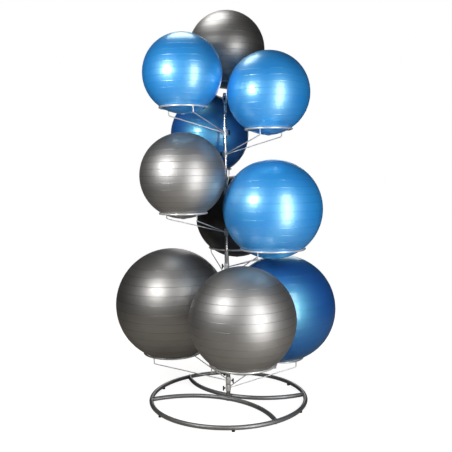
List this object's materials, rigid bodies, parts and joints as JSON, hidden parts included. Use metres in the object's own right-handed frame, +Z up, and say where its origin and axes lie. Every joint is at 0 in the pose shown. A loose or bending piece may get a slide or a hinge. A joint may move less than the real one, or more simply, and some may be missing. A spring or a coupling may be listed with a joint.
{
  "type": "exercise ball rack",
  "caption": "Free-standing pole on a round tube base, with swivelling hoop holders that each carry an exercise ball.",
  "frame": {"origin": "on the floor, on the pole's axis, at the underside of the middle foot", "axes": "+Z up along the pole, -Y towards the front of the pictured rack, +X to the right"},
  "size_m": [1.3614, 1.3166, 2.3565],
  "materials": {
    "powder_coat": "dark grey metallic powder coat",
    "foot_rubber": "matt black rubber",
    "steel": "satin steel",
    "chrome": "bright chrome",
    "knob_plastic": "moulded black",
    "cap_plastic": "moulded black",
    "valve_plastic": "moulded off-white",
    "ball_blue": "pearl blue, semi-gloss",
    "ball_grey": "warm pearl grey, semi-gloss",
    "ball_charcoal": "dark pearl grey, semi-gloss",
    "ball_black": "black, semi-gloss"
  },
  "bodies": {
    "stand": {"base_ring": "powder_coat", "base_arc_back": "powder_coat", "base_arc_front": "powder_coat", "foot_1": "foot_rubber", "foot_2": "foot_rubber", "foot_3": "foot_rubber", "foot_4": "foot_rubber", "foot_5": "foot_rubber", "foot_6": "foot_rubber", "centre_foot": "foot_rubber", "hub_socket": "powder_coat", "hub_bolt": "steel", "pole_foot_plug": "steel", "lower_pole": "steel", "upper_pole": "chrome", "pole_cap": "cap_plastic"},
    "top_back_arm": {"holder_top_back": "chrome"},
    "top_back_knob": {"knob_top_back": "knob_plastic"},
    "top_back_ball": {"ball_top_back": "ball_charcoal", "valve_plug_top_back": "valve_plastic"},
    "upper_left_arm": {"holder_upper_left": "chrome"},
    "upper_left_knob": {"knob_upper_left": "knob_plastic"},
    "upper_left_ball": {"ball_upper_left": "ball_blue", "valve_plug_upper_left": "valve_plastic"},
    "upper_right_arm": {"holder_upper_right": "chrome"},
    "upper_right_knob": {"knob_upper_right": "knob_plastic"},
    "upper_right_ball": {"ball_upper_right": "ball_blue", "valve_plug_upper_right": "valve_plastic"},
    "upper_back_arm": {"holder_upper_back": "chrome"},
    "upper_back_knob": {"knob_upper_back": "knob_plastic"},
    "upper_back_ball": {"ball_upper_back": "ball_blue", "valve_plug_upper_back": "valve_plastic"},
    "middle_left_arm": {"holder_middle_left": "chrome"},
    "middle_left_knob": {"knob_middle_left": "knob_plastic"},
    "middle_left_ball": {"ball_middle_left": "ball_grey", "valve_plug_middle_left": "valve_plastic"},
    "middle_right_arm": {"holder_middle_right": "chrome"},
    "middle_right_knob": {"knob_middle_right": "knob_plastic"},
    "middle_right_ball": {"ball_middle_right": "ball_blue", "valve_plug_middle_right": "valve_plastic"},
    "middle_back_arm": {"holder_middle_back": "chrome", "ball_middle_back": "ball_black", "valve_plug_middle_back": "valve_plastic"},
    "middle_back_knob": {"knob_middle_back": "knob_plastic"},
    "lower_front_arm": {"holder_lower_front": "chrome"},
    "lower_front_knob": {"knob_lower_front": "knob_plastic"},
    "lower_front_ball": {"ball_lower_front": "ball_grey", "valve_plug_lower_front": "valve_plastic"},
    "lower_left_arm": {"holder_lower_left": "chrome"},
    "lower_left_knob": {"knob_lower_left": "knob_plastic"},
    "lower_left_ball": {"ball_lower_left": "ball_charcoal", "valve_plug_lower_left": "valve_plastic"},
    "lower_right_arm": {"holder_lower_right": "chrome"},
    "lower_right_knob": {"knob_lower_right": "knob_plastic"},
    "lower_right_ball": {"ball_lower_right": "ball_blue", "valve_plug_lower_right": "valve_plastic"}
  },
  "joints": [
    {"name": "top_back_swivel", "type": "hinge", "parent": "stand", "child": "top_back_arm", "pos_m": [0, 0, 1.787], "axis": [0, 0, 1], "range_deg": [-35, 30]},
    {"name": "top_back_screw", "type": "hinge", "parent": "top_back_arm", "child": "top_back_knob", "pos_m": [0, 0, 1.787], "axis": [-0.0523, -0.9986, 0], "range_deg": [0, 360]},
    {"name": "top_back_lift", "type": "slide", "parent": "top_back_arm", "child": "top_back_ball", "axis": [0.037, 0.7061, 0.7071], "range_m": [0, 0.2]},
    {"name": "upper_left_swivel", "type": "hinge", "parent": "stand", "child": "upper_left_arm", "pos_m": [0, 0, 1.597], "axis": [0, 0, 1], "range_deg": [-30, 8]},
    {"name": "upper_left_screw", "type": "hinge", "parent": "upper_left_arm", "child": "upper_left_knob", "pos_m": [0, 0, 1.597], "axis": [0.809, 0.5878, 0], "range_deg": [0, 360]},
    {"name": "upper_left_lift", "type": "slide", "parent": "upper_left_arm", "child": "upper_left_ball", "axis": [-0.5721, -0.4156, 0.7071], "range_m": [0, 0.2]},
    {"name": "upper_right_swivel", "type": "hinge", "parent": "stand", "child": "upper_right_arm", "pos_m": [0, 0, 1.473], "axis": [0, 0, 1], "range_deg": [-8, 35]},
    {"name": "upper_right_screw", "type": "hinge", "parent": "upper_right_arm", "child": "upper_right_knob", "pos_m": [0, 0, 1.473], "axis": [-0.848, 0.5299, 0], "range_deg": [0, 360]},
    {"name": "upper_right_lift", "type": "slide", "parent": "upper_right_arm", "child": "upper_right_ball", "axis": [0.5997, -0.3747, 0.7071], "range_m": [0, 0.2]},
    {"name": "upper_back_swivel", "type": "hinge", "parent": "stand", "child": "upper_back_arm", "pos_m": [0, 0, 1.259], "axis": [0, 0, 1], "range_deg": [-3, 30]},
    {"name": "upper_back_screw", "type": "hinge", "parent": "upper_back_arm", "child": "upper_back_knob", "pos_m": [0, 0, 1.259], "axis": [0.2924, -0.9563, 0], "range_deg": [0, 360]},
    {"name": "upper_back_lift", "type": "slide", "parent": "upper_back_arm", "child": "upper_back_ball", "axis": [-0.2365, 0.7737, 0.5878], "range_m": [0, 0.035]},
    {"name": "middle_left_swivel", "type": "hinge", "parent": "stand", "child": "middle_left_arm", "pos_m": [0, 0, 1.017], "axis": [0, 0, 1], "range_deg": [-30, 3]},
    {"name": "middle_left_screw", "type": "hinge", "parent": "middle_left_arm", "child": "middle_left_knob", "pos_m": [0, 0, 1.017], "axis": [0.7193, 0.6947, 0], "range_deg": [0, 360]},
    {"name": "middle_left_lift", "type": "slide", "parent": "middle_left_arm", "child": "middle_left_ball", "axis": [-0.5668, -0.5474, 0.6157], "range_m": [0, 0.2]},
    {"name": "middle_right_swivel", "type": "hinge", "parent": "stand", "child": "middle_right_arm", "pos_m": [0, 0, 0.811], "axis": [0, 0, 1], "range_deg": [-3, 18]},
    {"name": "middle_right_screw", "type": "hinge", "parent": "middle_right_arm", "child": "middle_right_knob", "pos_m": [0, 0, 0.811], "axis": [-0.788, 0.6157, 0], "range_deg": [0, 360]},
    {"name": "middle_right_lift", "type": "slide", "parent": "middle_right_arm", "child": "middle_right_ball", "axis": [0.5763, -0.4503, 0.682], "range_m": [0, 0.2]},
    {"name": "middle_back_swivel", "type": "hinge", "parent": "stand", "child": "middle_back_arm", "pos_m": [0, 0, 0.752], "axis": [0, 0, 1], "range_deg": [-3, 3]},
    {"name": "middle_back_screw", "type": "hinge", "parent": "middle_back_arm", "child": "middle_back_knob", "pos_m": [0, 0, 0.752], "axis": [-0.1736, -0.9848, 0], "range_deg": [0, 360]},
    {"name": "lower_front_swivel", "type": "hinge", "parent": "stand", "child": "lower_front_arm", "pos_m": [0, 0, 0.217], "axis": [0, 0, 1], "range_deg": [-18, 2]},
    {"name": "lower_front_screw", "type": "hinge", "parent": "lower_front_arm", "child": "lower_front_knob", "pos_m": [0, 0, 0.217], "axis": [-0.2079, 0.9781, 0], "range_deg": [0, 360]},
    {"name": "lower_front_lift", "type": "slide", "parent": "lower_front_arm", "child": "lower_front_ball", "axis": [-0.5523, -0.4973, 0.6691], "range_m": [0, 0.2]},
    {"name": "lower_left_swivel", "type": "hinge", "parent": "stand", "child": "lower_left_arm", "pos_m": [0, 0, 0.125], "axis": [0, 0, 1], "range_deg": [-2, 18]},
    {"name": "lower_left_screw", "type": "hinge", "parent": "lower_left_arm", "child": "lower_left_knob", "pos_m": [0, 0, 0.125], "axis": [0.8829, -0.4695, 0], "range_deg": [0, 360]},
    {"name": "lower_left_lift", "type": "slide", "parent": "lower_left_arm", "child": "lower_left_ball", "axis": [-0.6243, 0.332, 0.7071], "range_m": [0, 0.2]},
    {"name": "lower_right_swivel", "type": "hinge", "parent": "stand", "child": "lower_right_arm", "pos_m": [0, 0, 0.079], "axis": [0, 0, 1], "range_deg": [-2, 2]},
    {"name": "lower_right_screw", "type": "hinge", "parent": "lower_right_arm", "child": "lower_right_knob", "pos_m": [0, 0, 0.079], "axis": [-0.8746, -0.4848, 0], "range_deg": [0, 360]},
    {"name": "lower_right_lift", "type": "slide", "parent": "lower_right_arm", "child": "lower_right_ball", "axis": [0.7793, 0.432, 0.454], "range_m": [0, 0.2]}
  ]
}
